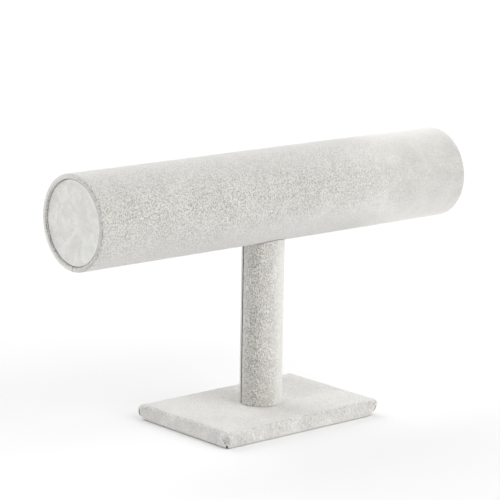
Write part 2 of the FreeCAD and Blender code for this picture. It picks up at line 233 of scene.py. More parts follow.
def open_seam(piece: Object, on_line: Callable[[Vector], bool], gap: float, raggedness: float, seed: int) -> None:
    """Open a butt seam along a line of edges, and make its cut edges slightly uneven.

    Args:
        piece: The sheet.
        on_line: Says whether a corner lies on the seam's line.
        gap: The seam's width.
        raggedness: How far the cut edges stray.
        seed: The seed of their unevenness.
    """
    with editing(piece):
        pick(piece, Kind.EDGE, on_edge(on_line))
        bpy.ops.mesh.bevel(offset=gap / 2, segments=1, affect="EDGES", clamp_overlap=False)
        bpy.ops.mesh.select_mode(type="FACE")
        bpy.ops.mesh.delete(type="FACE")
        mesh = bmesh.from_edit_mesh(piece.data)
        borders = {corner for edge in mesh.edges if edge.is_boundary for corner in edge.verts
                   if sum(1 for e in corner.link_edges if e.is_boundary) == 2}
        near = {corner.index for corner in borders
                if any(on_line(corner.co + Vector(step)) for step in seam_steps(gap))}
        pick(piece, Kind.CORNER, lambda corner: corner.index in near)
        bpy.ops.transform.vertex_random(offset=raggedness, uniform=0.0, normal=0.0, seed=seed)


def seam_steps(gap: float) -> list[Place]:
    """Small steps by which a cut edge may lie off the seam's line."""
    return [(x * gap, y * gap, 0.0) for x in (-0.5, 0.0, 0.5) for y in (-0.5, 0.0, 0.5)]


def give_thickness(piece: Object, thickness: float) -> None:
    """Turn the faces outward and grow the cloth's backing on their inner side.

    Args:
        piece: The open sheet.
        thickness: The cloth's thickness.
    """
    with editing(piece):
        bpy.ops.mesh.select_all(action="SELECT")
        bpy.ops.mesh.remove_doubles(threshold=0.1 * TINY)
        bpy.ops.mesh.normals_make_consistent(inside=False)
    backing = piece.vertex_groups.new(name="backing")
    modify(piece, "SOLIDIFY", thickness=thickness, offset=-1.0, use_even_offset=True,
           shell_vertex_group=backing.name)


def press_pile(piece: Object, depth: float, size: float, smooth: float = 40.0) -> None:
    """Press the pile side down unevenly, as handling does, and smooth the shading.

    Args:
        piece: The cloth with its backing.
        depth: The deepest that the pile is pressed.
        size: The width of the dents.
        smooth: The angle in degrees below which faces shade as one.
    """
    clouds = bpy.data.textures.new(piece.name + "_dents", "CLOUDS")
    clouds.noise_scale = size
    clouds.noise_depth = 2
    modify(piece, "DISPLACE", texture=clouds, texture_coords="LOCAL", strength=depth, mid_level=1.0,
           vertex_group="backing", invert_vertex_group=True)
    bpy.data.textures.remove(clouds)
    hold(piece)
    bpy.ops.object.shade_smooth_by_angle(angle=math.radians(smooth))


def slice_grid(piece: Object, axis: int, start: float, stop: float, step: float) -> None:
    """Cut a piece in edit mode into even strips across one axis.

    Args:
        piece: The object in edit mode.
        axis: The axis that the cuts stand across, 0 for X.
        start: The first end along it.
        stop: The second end.
        step: The strips' width.
    """
    count = max(1, round((stop - start) / step))
    normal = [0.0, 0.0, 0.0]
    normal[axis] = 1.0
    for number in range(1, count):
        point = [0.0, 0.0, 0.0]
        point[axis] = start + (stop - start) * number / count
        bpy.ops.mesh.select_all(action="SELECT")
        bpy.ops.mesh.bisect(plane_co=point, plane_no=normal)


# Shader wiring


class Wiring:
    """Adds nodes to one tree and joins them."""

    def __init__(self, tree: NodeTree) -> None:
        """Keep the tree that the nodes go into."""
        self.tree = tree

    def fill(self, sockets: Any, values: dict[Any, Any]) -> None:
        """Join or set some inputs.

        Args:
            sockets: A node's inputs.
            values: What each named or numbered input gets: a socket to be joined, or a value.
        """
        for key, value in values.items():
            if isinstance(value, NodeSocket):
                self.tree.links.new(value, sockets[key])
            else:
                sockets[key].default_value = value

    def add(self, kind: str, inputs: dict[Any, Any] | None = None, **settings: Any) -> Node:
        """Add a node.

        Args:
            kind: The node's type without the word ShaderNode.
            inputs: What its inputs get.
            settings: The node's own properties.

        Returns:
            The node.
        """
        node = self.tree.nodes.new("ShaderNode" + kind)
        for key, value in settings.items():
            setattr(node, key, value)
        self.fill(node.inputs, inputs or {})
        return node

    def math(self, operation: str, first: Any, second: Any = 0.0, third: Any = 0.0) -> NodeSocket:
        """One step of arithmetic, and the socket that holds its result."""
        return self.add("Math", {0: first, 1: second, 2: third}, operation=operation).outputs[0]

    def vector(self, operation: str, inputs: dict[Any, Any]) -> NodeSocket:
        """One step of arithmetic with vectors, and the socket that holds its result."""
        return self.add("VectorMath", inputs, operation=operation).outputs[0]

    def measured(self, place: Any, size: Any) -> NodeSocket:
        """A place counted in multiples of a size."""
        return self.vector("SCALE", {0: place, "Scale": self.math("DIVIDE", 1.0, size)})

    def noise(self, place: Any, output: str = "Fac", scale: float = 1.0, detail: float = 1.0,
              **inputs: float) -> NodeSocket:
        """Cloudy noise.

        Args:
            place: Where it is read.
            output: Which of the node's outputs is wanted.
            scale: How many clouds there are to the unit.
            detail: How fine it goes.
            inputs: The node's other inputs.

        Returns:
            The output's socket.
        """
        return self.add("TexNoise", {"Vector": place, "Scale": scale, "Detail": detail, **inputs}).outputs[output]

    def mix(self, share: Any, first: Any, second: Any) -> NodeSocket:
        """Mix two colours.

        Args:
            share: How much of the second there is.
            first: The first colour, a socket or four numbers.
            second: The second colour.

        Returns:
            The mixed colour's socket.
        """
        node = self.add("Mix", data_type="RGBA")
        self.fill({socket.name: socket for socket in node.inputs if socket.enabled},
                  {"Factor": share, "A": first, "B": second})
        return next(socket for socket in node.outputs if socket.enabled)

    def between(self, value: Any, low: float, high: float, first: float = 0.0, last: float = 1.0) -> NodeSocket:
        """Map a value smoothly from one range to another, and give its socket."""
        node = self.add("MapRange", {"Value": value, "From Min": low, "From Max": high,
                                     "To Min": first, "To Max": last}, interpolation_type="SMOOTHSTEP")
        return node.outputs["Result"]


def new_group(name: str, inputs: dict[str, tuple[str, Any]]) -> tuple[NodeTree, Wiring, Any, Any]:
    """Start a shader node group that puts out a Colour, a Roughness and a Height.

    Args:
        name: The group's name.
        inputs: For each input its kind and first value.

    Returns:
        The group, its wiring, and the sockets that it is given and that it fills.
    """
    tree = bpy.data.node_groups.new(name, "ShaderNodeTree")
    for label, (kind, value) in inputs.items():
        socket = tree.interface.new_socket(label, in_out="INPUT", socket_type="NodeSocket" + kind)
        if value is not None:
            socket.default_value = value
    for label, kind in (("Colour", "Color"), ("Roughness", "Float"), ("Height", "Float")):
        tree.interface.new_socket(label, in_out="OUTPUT", socket_type="NodeSocket" + kind)
    return tree, Wiring(tree), tree.nodes.new("NodeGroupInput").outputs, tree.nodes.new("NodeGroupOutput").inputs


def pile_group() -> NodeTree:
    """The pile of a flocked velvet: crinkled grain, brushed patches, specks of lint, and painted shade and painted
    light.

    Returns:
        The group.
    """
    plain_tone, worn_tone, painted_shade_tone, painted_light_share = 0.3, 0.16, 0.2, -0.3
    flattened = 0.7
    tree, wire, given, result = new_group("velvet_pile", {
        "Vector": ("Vector", None), "Colour": ("Color", (0.6, 0.6, 0.6, 1.0)),
        "Shade": ("Color", (0.3, 0.3, 0.3, 1.0)), "Lie": ("Vector", (1.0, 1.0, 1.0)),
        "Grain Size": ("Float", 1.0 * MM), "Grain": ("Float", 0.2),
        "Patch Size": ("Float", 12 * MM), "Patches": ("Float", 0.1),
        "Lint": ("Float", 0.3), "Worn": ("Float", 0.0), "Painted Shading": ("Float", 0.0)})

    laid = wire.vector("MULTIPLY", {0: given["Vector"], 1: given["Lie"]})
    scaled = wire.measured(laid, given["Grain Size"])
    stir = wire.noise(scaled, "Color", scale=0.6)
    shift = wire.vector("SUBTRACT", {0: stir, 1: (0.5, 0.5, 0.5)})
    crinkled = wire.vector("MULTIPLY_ADD", {0: shift, 1: (1.1, 1.1, 1.1), 2: scaled})
    clumps = wire.noise(crinkled, detail=2.0, Roughness=0.6)
    creases = wire.math("ABSOLUTE", wire.math("SUBTRACT", wire.noise(crinkled, scale=0.55), 0.5))
    grain = wire.math("ADD", wire.between(clumps, 0.3, 0.7, -0.65, 0.65),
                      wire.between(creases, 0.0, 0.09, -0.5, 0.2))

    broad = wire.measured(given["Vector"], given["Patch Size"])
    brushed = wire.noise(broad, detail=3.0, Roughness=0.55, Distortion=0.8)
    patches = wire.between(brushed, 0.32, 0.68, -1.0, 1.0)

    worn = wire.math("MAXIMUM", given["Worn"], 0.0)
    height = wire.math("MULTIPLY", grain, wire.math("MULTIPLY_ADD", worn, flattened, -1.0))
    grain = wire.math("MULTIPLY", grain, wire.math("MULTIPLY_ADD", given["Worn"], -flattened, 1.0))
    tone = wire.math("MULTIPLY_ADD", grain, given["Grain"], plain_tone)
    tone = wire.math("MULTIPLY_ADD", patches, given["Patches"], tone)
    tone = wire.math("MULTIPLY_ADD", worn, worn_tone, tone)
    # Painted shade and light: above 0 the tone darkens, and below 0 the pale is mixed in as painted light.
    tone = wire.math("MULTIPLY_ADD", wire.math("MAXIMUM", given["Painted Shading"], 0.0), painted_shade_tone, tone)
    velvet = wire.mix(tone, given["Colour"], given["Shade"])
    velvet = wire.mix(wire.math("MULTIPLY", given["Painted Shading"], painted_light_share), velvet, PAINTED_LIGHT_PALE)

    specks = wire.add("TexVoronoi", {"Vector": given["Vector"], "Scale": 1 / (6 * MM)}).outputs
    dot = wire.between(specks["Distance"], 0.05, 0.1, 1.0, 0.0)
    rare = wire.math("GREATER_THAN", wire.add("SeparateColor", {"Color": specks["Color"]}).outputs[0], 0.86)
    fleck = wire.math("MULTIPLY", wire.math("MULTIPLY", dot, rare), given["Lint"])
    wire.fill(result, {"Colour": wire.mix(fleck, velvet, LINT), "Height": height,
                       "Roughness": wire.math("MULTIPLY_ADD", patches, 0.05, 0.86)})
    return tree


def streak_group() -> NodeTree:
    """Streaks along one direction: wood grain, rolled card or brushed metal.

    Returns:
        The group.
    """
    tree, wire, given, result = new_group("fine_streaks", {
        "Vector": ("Vector", None), "Light": ("Color", (0.7, 0.6, 0.4, 1.0)),
        "Dark": ("Color", (0.5, 0.4, 0.3, 1.0)), "Stretch": ("Vector", (1.0, 1.0, 1.0)),
        "Fleck Size": ("Float", 0.5 * MM), "Smooth": ("Float", 0.4), "Rough": ("Float", 0.7)})
    stretched = wire.vector("MULTIPLY", {0: given["Vector"], 1: given["Stretch"]})
    bands = wire.noise(stretched, detail=4.0, Distortion=0.6)
    flecks = wire.noise(wire.measured(given["Vector"], given["Fleck Size"]), detail=2.0)
    mixed = wire.math("ADD", wire.between(bands, 0.3, 0.7, 0.0, 0.75), wire.between(flecks, 0.4, 0.7, 0.0, 0.25))
    spread = wire.math("SUBTRACT", given["Rough"], given["Smooth"])
    wire.fill(result, {"Colour": wire.mix(mixed, given["Light"], given["Dark"]), "Height": mixed,
                       "Roughness": wire.math("MULTIPLY_ADD", mixed, spread, given["Smooth"])})
    return tree


def plain_material(name: str) -> tuple[Material, Wiring, Node]:
    """Start a material.

    Args:
        name: Its name.

    Returns:
        The material, its wiring and its Principled shader.
    """
    material = bpy.data.materials.new(name)
    material.use_nodes = True
    return material, Wiring(material.node_tree), material.node_tree.nodes["Principled BSDF"]


def raise_relief(wire: Wiring, effect: Node, relief: float) -> dict[str, NodeSocket]:
    """The shader's inputs that an effect fills whatever its colour: roughness and bumps.

    Args:
        wire: The material's wiring.
        effect: The placed group.
        relief: The bumps' depth in metres.

    Returns:
        A socket for each input.
    """
    bump = wire.add("Bump", {"Height": effect.outputs["Height"], "Distance": relief, "Strength": 1.0})
    return {"Roughness": effect.outputs["Roughness"], "Normal": bump.outputs["Normal"]}


@dataclass(frozen=True)
class Pile:
    """A velvet finish: what the pile's group and the shader get.

    The painted sheen says how much paler the pile's colour is painted where it is seen from the side.
    """

    name: str
    colour: Colour
    shade: Colour
    grain_size: float
    grain: float
    patch_size: float
    patches: float
    relief: float
    lie: Place = (1.25, 1.25, 0.8)
    lint: float = 0.5
    sheen: float = 0.3
    painted_sheen: float = 0.9

    def make(self, group: NodeTree) -> Material:
        """Make the material.

        Args:
            group: The shared pile group.

        Returns:
            The material.
        """
        material, wire, shader = plain_material(self.name)
        pile = wire.add("Group", node_tree=group)
        wire.fill(pile.inputs, {
            "Vector": wire.add("TexCoord").outputs["Object"],
            "Worn": wire.add("Attribute", attribute_name="worn").outputs["Fac"],
            "Painted Shading": wire.add("Attribute", attribute_name="painted_shading").outputs["Fac"],
            "Colour": (*self.colour, 1.0), "Shade": (*self.shade, 1.0), "Lie": self.lie,
            "Grain Size": self.grain_size, "Grain": self.grain,
            "Patch Size": self.patch_size, "Patches": self.patches, "Lint": self.lint})
        colour = pile.outputs["Colour"]
        # Painted sheen: the colour is mixed toward the pale where the surface is seen edge-on.
        if self.painted_sheen:
            facing = wire.add("LayerWeight", {"Blend": 0.5}).outputs["Facing"]
            share = wire.math("MULTIPLY", wire.math("POWER", facing, 0.85), self.painted_sheen)
            colour = wire.mix(share, colour, PAINTED_LIGHT_PALE)
        wire.fill(shader.inputs, {
            "Base Color": colour, **raise_relief(wire, pile, self.relief), "Specular IOR Level": 0.15,
            "Sheen Weight": self.sheen, "Sheen Roughness": 0.3, "Sheen Tint": (1.0, 0.99, 0.97, 1.0)})
        return material


@dataclass(frozen=True)
class Streaked:
    """A finish of card, wood, board or steel: what the streaks' group and the shader get."""

    name: str
    light: Colour
    dark: Colour
    stretch: Place
    fleck_size: float
    smooth: float
    rough: float
    relief: float
    metallic: float = 0.0

    def make(self, group: NodeTree) -> Material:
        """Make the material.

        Args:
            group: The shared streaks' group.

        Returns:
            The material.
        """
        material, wire, shader = plain_material(self.name)
        streaks = wire.add("Group", node_tree=group)
        wire.fill(streaks.inputs, {
            "Vector": wire.add("TexCoord").outputs["Object"],
            "Light": (*self.light, 1.0), "Dark": (*self.dark, 1.0), "Stretch": self.stretch,
            "Fleck Size": self.fleck_size, "Smooth": self.smooth, "Rough": self.rough})
        wire.fill(shader.inputs, {"Base Color": streaks.outputs["Colour"], "Metallic": self.metallic,
                                  **raise_relief(wire, streaks, self.relief)})
        return material


# Finishes

VELVET_SHADE = (0.16, 0.155, 0.14)

BAR_PILE = Pile("bar_velvet", (0.765, 0.745, 0.70), VELVET_SHADE, grain_size=0.66 * MM, grain=0.85,
                patch_size=16 * MM, patches=0.08, relief=0.22 * MM)
# Paler than the bar's velvet: partly painted light, as the end discs face away from the lamps.
DISC_PILE = Pile("disc_velvet", (0.80, 0.80, 0.77), VELVET_SHADE, grain_size=1.9 * MM, grain=0.1,
                 patch_size=7 * MM, patches=0.13, relief=0.1 * MM, lie=(1.0, 0.75, 1.1))
# Paler than the other velvets: partly painted light, lifting the shade under the bar and at the foot.
POST_PILE = Pile("post_velvet", (0.97, 0.95, 0.89), (0.22, 0.215, 0.19), grain_size=0.72 * MM, grain=0.55,
                 patch_size=14 * MM, patches=0.04, relief=0.3 * MM, lie=(1.3, 1.3, 0.9))
BASE_PILE = Pile("base_velvet", (0.80, 0.785, 0.745), VELVET_SHADE, grain_size=0.85 * MM, grain=0.75,
                 patch_size=18 * MM, patches=0.14, relief=0.25 * MM)
FELT = Pile("under_felt", (0.52, 0.515, 0.50), (0.30, 0.295, 0.28), grain_size=0.7 * MM, grain=0.5,
            patch_size=9 * MM, patches=0.2, relief=0.2 * MM, sheen=0.15, painted_sheen=0.0)
# Dark backing and cut edges: painted shade in the seams and slits, where the backing shows.
PAINTED_SHADE_BACKING = Pile("velvet_backing_painted_shade", (0.14, 0.13, 0.12), (0.06, 0.055, 0.05), grain_size=0.5 * MM, grain=0.4,
               patch_size=5 * MM, patches=0.2, relief=0.05 * MM, sheen=0.0, painted_sheen=0.0)

CARD = Streaked("rolled_card", (0.47, 0.43, 0.38), (0.36, 0.32, 0.27), stretch=(60, 400, 400),
                fleck_size=0.6 * MM, smooth=0.75, rough=0.9, relief=0.05 * MM)
BOARD = Streaked("pressed_board", (0.50, 0.38, 0.25), (0.38, 0.27, 0.16), stretch=(500, 500, 1800),
                 fleck_size=0.5 * MM, smooth=0.7, rough=0.9, relief=0.06 * MM)
SOFTWOOD = Streaked("planed_softwood", (0.72, 0.57, 0.38), (0.56, 0.39, 0.22), stretch=(420, 420, 45),
                    fleck_size=0.4 * MM, smooth=0.5, rough=0.75, relief=0.05 * MM)
STEEL = Streaked("turned_steel", (0.66, 0.66, 0.64), (0.52, 0.52, 0.50), stretch=(900, 900, 3500),
                 fleck_size=0.25 * MM, smooth=0.28, rough=0.45, relief=0.01 * MM, metallic=1.0)


# The display's sub-assemblies


def dress_sheet(piece: Object, finish: Material, backing: Material, stands_for: str) -> None:
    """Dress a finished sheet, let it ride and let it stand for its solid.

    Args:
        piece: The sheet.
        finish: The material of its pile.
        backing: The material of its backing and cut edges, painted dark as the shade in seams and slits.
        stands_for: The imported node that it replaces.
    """
    piece.data.materials.clear()
    piece.data.materials.append(finish)
    piece.data.materials.append(backing)
    group = piece.vertex_groups["backing"].index
    inner = {corner.index for corner in piece.data.vertices if any(held.group == group for held in corner.groups)}
    for face in piece.data.polygons:
        face.material_index = int(not inner.isdisjoint(face.vertices))
    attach(piece, BODY)
    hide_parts(stands_for)
    LOG.info("%s: %d faces", piece.name, len(piece.data.polygons))


def paint(piece: Object, layer: str, values: Iterable[float]) -> None:
    """Paint how the pile lies, and the painted shade and painted light on it.

    Args:
        piece: The sheet.
        layer: "worn" where it is brushed flat and, below 0, ruffled; the other layer holds painted shade,
        darker, and below 0 painted light, paler.
        values: The value at each corner, in order.
    """
    piece.data.attributes.new(layer, "FLOAT", "POINT").data.foreach_set("value", list(values))


def points(piece: Object) -> list[Vector]:
    """Where a piece's corners are."""
    return [corner.co for corner in piece.data.vertices]


def ramp(value: float, low: float, high: float) -> float:
    """A smooth step from 0 at the low end to 1 at the high end."""
    share = min(1.0, max(0.0, (value - low) / (high - low)))
    return share * share * (3 - 2 * share)


@dataclass(frozen=True)
class Fray:
    """Loose pile along a cut edge: one tapered, bent fibre and its copies, painted pale as painted light."""

    name: str
    length: float
    width: float
    seed: int
    bend: float = 0.35
    stray: float = 0.3
    lengths: Span = (0.5, 1.15)
    painted_shading: float = -1.5

    def spin_fibre(self) -> Object:
        """Make the one fibre, upright and bent over towards X.

        Returns:
            The fibre, with its root at the origin.
        """
        bpy.ops.mesh.primitive_cone_add(vertices=5, radius1=self.width / 2, radius2=0.08 * self.width,
                                        depth=self.length, location=(0, 0, self.length / 2))
        fibre = settle(self.name)
        with editing(fibre):
            pick(fibre, Kind.EDGE, runs_along(2))
            bpy.ops.mesh.subdivide(number_cuts=2)
            pick(fibre, Kind.CORNER, lambda corner: corner.co.z > self.length - TINY)
            pull((self.bend * self.length, 0, -0.1 * self.length), self.length, Fade.SHARP)
        bpy.ops.object.shade_smooth()
        return fibre

    def grow(self, roots: Sequence[Root], finish: Material) -> Object:
        """Copy the fibre to every root and join the copies.

        Args:
            roots: Where the fibres stand.
            finish: The cloth's material.

        Returns:
            The fray, one piece.
        """
        chance = random.Random(self.seed)
        fibre = self.spin_fibre()
        copies = []
        for root, way in roots:
            copy = fibre.copy()
            copy.data = fibre.data.copy()
            lean = Vector([chance.gauss(0, self.stray) for _ in range(3)])
            spin = Quaternion((0, 0, 1), chance.uniform(0, 2 * math.pi))
            turn = (way.normalized() + lean).to_track_quat("Z", "Y") @ spin
            copy.matrix_world = Matrix.LocRotScale(root, turn, Vector((1.0, 1.0, chance.uniform(*self.lengths))))
            bpy.context.scene.collection.objects.link(copy)
            copies.append(copy)
        bpy.data.objects.remove(fibre)
        hold(copies[0])
        for copy in copies:
            copy.select_set(True)
        bpy.ops.object.join()
        fray = settle(self.name)
        fray.data.materials.clear()
        fray.data.materials.append(finish)
        # The fibres are painted pale: painted light over the dark groove and slits.
        paint(fray, "painted_shading", [self.painted_shading] * len(fray.data.vertices))
        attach(fray, BODY)
        LOG.info("%s: %d fibres", self.name, len(copies))
        return fray


@dataclass
class DisplayBar:
    """The long bar: its velvet sleeve and the velvet discs in its ends."""

    axis_height: float
    length: float
    radius: float
    disc_radius: float
    disc_face: float
    disc_back: float
    cloth: float = 0.6 * MM
    rim_width: float = 2.8 * MM
    rim_round: float = 0.7 * MM
    rim_inner_round: float = 0.8 * MM
    turn_in: float = 12 * MM
    turn_back: float = 7 * MM
    seam: float = 0.5 * MM
    seam_ragged: float = 0.08 * MM
    lips_open: float = 0.4
    lip_reach: float = 1.6 * MM
    curl: tuple[float, float] = (0.15 * MM, -0.3 * MM)
    curl_reach: float = 1.8 * MM
    sides: int = 144
    rows: int = 230
    disc_ring: float = 1.15 * MM
    disc_round: float = 0.4 * MM
    disc_crown: float = 0.25 * MM
    disc_turn: float = math.radians(1.1)
    disc_fibres: int = 260
    # Spans that place the brushed and ruffled pile, and the painted shade and painted light, on the sleeve and discs.
    brushed_and_painted_light_rims: Span = (-12 * MM, 4 * MM)
    brushed_right: Span = (5 * MM, 100 * MM)
    ruffled_flanks: Span = (0.5, 0.9)
    smooth_right: Span = (20 * MM, 100 * MM)
    painted_shade_right: Span = (60 * MM, 110 * MM)
    painted_light_below: Span = (2 * MM, 16 * MM)
    painted_light_middle: float = 25 * MM
    painted_light_ends: Span = (15 * MM, 95 * MM)
    painted_shade_disc: Span = (6 * MM, 20 * MM)
    painted_light_border: Span = (1.4 * MM, 0.3 * MM)

    @classmethod
    def fitted(cls) -> "DisplayBar":
        """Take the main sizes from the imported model."""
        low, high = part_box("bar_cover")
        disc_low, disc_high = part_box("end_cover_right")
        return cls(axis_height=(low.z + high.z) / 2, length=high.x - low.x, radius=(high.z - low.z) / 2,
                   disc_radius=(disc_high.z - disc_low.z) / 2, disc_face=disc_high.x, disc_back=disc_low.x)

    @property
    def axis(self) -> Vector:
        """The middle of the bar's axis."""
        return Vector((0.0, 0.0, self.axis_height))

    def off_axis(self, point: Vector) -> float:
        """How far a point lies from the bar's axis."""
        return math.hypot(point.y, point.z - self.axis_height)

    def on_rim(self, point: Vector) -> bool:
        """Whether a point lies on the flat of a rim."""
        return abs(point.x) > self.length / 2 - 0.3 * MM

    def roll_sleeve(self) -> Object:
        """Roll the sleeve, turn it over both rims and butt it along the underside.

        Returns:
            The sleeve.
        """
        half = Vector((self.length / 2, 0.0, 0.0))
        sleeve = open_tube("bar_sleeve", self.radius, self.axis - half, self.axis + half, self.sides, self.rows)
        inner = self.radius - self.rim_width
        with editing(sleeve):
            for side in (-1, 1):
                end = side * half.x
                pick(sleeve, Kind.EDGE, on_edge(lambda point: abs(point.x - end) < TINY))
                bpy.ops.mesh.extrude_edges_move()
                share = inner / self.radius
                bpy.ops.transform.resize(value=(1.0, share, share), center_override=(end, 0, self.axis_height))
                bpy.ops.mesh.extrude_edges_move(TRANSFORM_OT_translate={"value": (-side * self.turn_in, 0, 0)})
            for radius, rounding, segments in ((self.radius, self.rim_round, 6), (inner, self.rim_inner_round, 4)):
                pick(sleeve, Kind.EDGE, on_edge(
                    lambda point: abs(abs(point.x) - half.x) < TINY and abs(self.off_axis(point) - radius) < TINY))
                bpy.ops.mesh.bevel(offset=rounding, segments=segments, affect="EDGES")
        open_seam(sleeve, lambda point: abs(point.y) < TINY and point.z < self.axis_height, self.seam,
                  self.seam_ragged, seed=3)
        with editing(sleeve):
            for side in (-1, 1):
                tip = Vector((side * half.x, self.seam / 2, self.axis_height - self.radius + self.rim_round))
                pick(sleeve, Kind.CORNER,
                     lambda corner: corner.is_boundary and (corner.co - tip).length < self.lip_reach)
                bpy.ops.transform.resize(value=(1.0, self.lips_open, 1.0), center_override=(0, 0, 0))
                pick(sleeve, Kind.CORNER,
                     lambda corner: corner.co.y > 0 and (corner.co - tip).length < self.lip_reach / 2)
                pull((side * self.curl[0], self.curl[1], 0.0), self.curl_reach)
        give_thickness(sleeve, self.cloth)
        press_pile(sleeve, 0.22 * MM, 3.2 * MM)
        return sleeve

    def stretch_disc(self, side: int) -> Object:
        """Stretch a velvet disc over one end board.

        Args:
            side: 1 for the right end and -1 for the left.

        Returns:
            The disc.
        """
        name = "end_disc_right" if side > 0 else "end_disc_left"
        face = side * self.disc_face
        bpy.ops.mesh.primitive_circle_add(vertices=self.sides, radius=self.disc_radius, fill_type="NGON",
                                          location=(face, 0, self.axis_height), rotation=(0, side * math.pi / 2, 0))
        disc = settle(name)
        with editing(disc):
            bpy.ops.mesh.select_all(action="SELECT")
            for _ in range(int(self.disc_radius / self.disc_ring) - 1):
                bpy.ops.mesh.inset(thickness=self.disc_ring)
            bpy.ops.mesh.poke()
            pick(disc, Kind.EDGE, lambda edge: edge.is_boundary)
            bpy.ops.mesh.extrude_edges_move(
                TRANSFORM_OT_translate={"value": (-side * (self.disc_face - self.disc_back), 0, 0)})
            bpy.ops.mesh.extrude_edges_move()
            share = 1 - self.turn_back / self.disc_radius
            bpy.ops.transform.resize(value=(1.0, share, share),
                                     center_override=(side * self.disc_back, 0, self.axis_height))
            pick(disc, Kind.EDGE, on_edge(lambda point: abs(point.x - face) < TINY
                                          and self.off_axis(point) > self.disc_radius - TINY))
            bpy.ops.mesh.bevel(offset=self.disc_round, segments=4, affect="EDGES")
            pick(disc, Kind.CORNER, lambda corner: abs(corner.co.x - face) < TINY
                 and self.off_axis(corner.co) < 0.3 * self.disc_radius)
            pull((side * self.disc_crown, 0, 0), 0.6 * self.disc_radius)
            bpy.ops.mesh.select_all(action="SELECT")
            bpy.ops.transform.rotate(value=self.disc_turn, orient_axis="Z", center_override=(face, 0, self.axis_height))
        give_thickness(disc, self.cloth)
        press_pile(disc, 0.2 * MM, 4.5 * MM)
        return disc

    def open_side(self, point: Vector) -> float:
        """How much a point of an end is on the side where the disc sits flush: the front and the top."""
        return ramp(0.35 * (point.z - self.axis_height) - point.y, -1 * MM, 7 * MM)

    def worn_at(self, point: Vector) -> float:
        """How flat the sleeve's pile lies at a point: most at the right end and on the rims."""
        if self.on_rim(point):
            return 0.8 * ramp(point.y, *self.brushed_and_painted_light_rims)
        flank = abs(0.27 * point.y + 0.96 * (point.z - self.axis_height)) / self.radius
        ruffled = ramp(flank, *self.ruffled_flanks) * (1 - ramp(point.x, *self.smooth_right))
        return 1.05 * ramp(point.x, *self.brushed_right) - 0.8 * ruffled

    def painted_shading_at(self, point: Vector) -> float:
        """The sleeve's painted shading at a point: painted shade at the right end, painted light below, on the rims and
        on their inner walls.
        """
        # Painted light on the rims' inner walls, where the groove is in shade.
        if self.off_axis(point) < self.radius - 2 * MM:
            return -2.0 * self.open_side(point)
        if self.on_rim(point):
            return -1.1 * ramp(point.y, *self.brushed_and_painted_light_rims)
        # Painted light on the underside toward the middle, and painted shade toward the right end.
        below = ramp(self.axis_height - point.z, *self.painted_light_below)
        inward = 1 - ramp(abs(point.x - self.painted_light_middle), *self.painted_light_ends)
        return ramp(point.x, *self.painted_shade_right) - 0.9 * below * inward

    def disc_painted_shading_at(self, point: Vector) -> float:
        """A disc's painted shading at a point: painted shade toward the back, painted light on its border where it is
        open to the light.
        """
        far, near = (self.disc_radius - inset for inset in self.painted_light_border)
        border = ramp(self.off_axis(point), far, near)
        return 0.4 * ramp(point.y, *self.painted_shade_disc) - 2.2 * self.open_side(point) * border

    def fray_roots(self, disc: Object, side: int) -> list[Root]:
        """Where fibres stand at one disc's edge: they point out over the groove.

        Args:
            disc: The finished disc.
            side: 1 for the right end and -1 for the left.

        Returns:
            The roots.
        """
        chance = random.Random(31 + side)
        roots = []
        while len(roots) < self.disc_fibres:
            angle = chance.uniform(0, 2 * math.pi)
            outward = Vector((0.0, math.cos(angle), math.sin(angle)))
            point = Vector((side * self.disc_face, 0.0, self.axis_height)) + outward * (self.disc_radius - 0.35 * MM)
            if chance.random() < self.open_side(point):
                place = disc.closest_point_on_mesh(point + Vector((side * 0.5 * MM, 0.0, 0.0)))[1]
                roots.append((place, outward + Vector((0.55 * side, 0.0, 0.0))))
        return roots

    def build(self, finishes: dict[str, Material]) -> None:
        """Make and dress the sleeve and both discs.

        Args:
            finishes: The made velvets by name.
        """
        sleeve = self.roll_sleeve()
        dress_sheet(sleeve, finishes[BAR_PILE.name], finishes[PAINTED_SHADE_BACKING.name], "bar_cover")
        paint(sleeve, "worn", map(self.worn_at, points(sleeve)))
        paint(sleeve, "painted_shading", map(self.painted_shading_at, points(sleeve)))
        for side, word in ((-1, "left"), (1, "right")):
            disc = self.stretch_disc(side)
            dress_sheet(disc, finishes[DISC_PILE.name], finishes[PAINTED_SHADE_BACKING.name], f"end_cover_{word}")
            paint(disc, "painted_shading", map(self.disc_painted_shading_at, points(disc)))
            fray = Fray(f"disc_fray_{word}", length=1.3 * MM, width=0.22 * MM, seed=21).grow(
                self.fray_roots(disc, side), finishes[DISC_PILE.name])


